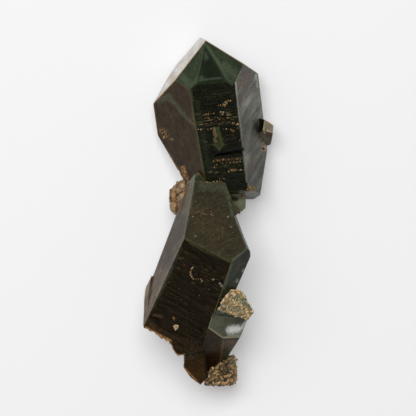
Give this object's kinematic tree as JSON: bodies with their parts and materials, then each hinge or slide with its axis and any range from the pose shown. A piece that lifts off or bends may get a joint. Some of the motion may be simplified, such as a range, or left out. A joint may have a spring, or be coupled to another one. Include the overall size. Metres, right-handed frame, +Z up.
{
  "type": "chlorite-included quartz crystal specimen",
  "caption": "Natural dark green quartz crystals grown together end to end at an angle, with stepped prism faces, small side crystals and crumbs of iron-stained matrix. Lies on a flat back.",
  "frame": {"origin": "centre of the outline, at the table that the flat back rests on", "axes": "+Y along the specimen towards the pointed crystal's tip, +X to the side with the blocky side crystal, +Z up from the table"},
  "size_m": [0.0354, 0.0944, 0.0245],
  "materials": {
    "chlorite_quartz": "glossy natural crystal faces, dark green to black with chlorite inclusions",
    "iron_stained_matrix": "rough, granular",
    "iron_stained_crust": "rough, granular",
    "crumbly_matrix": "rough, granular"
  },
  "bodies": {
    "root": {"quartz_crystals": "chlorite_quartz", "neck_matrix": "iron_stained_matrix", "side_crust": "iron_stained_crust", "foot_matrix": "crumbly_matrix"}
  },
  "joints": []
}
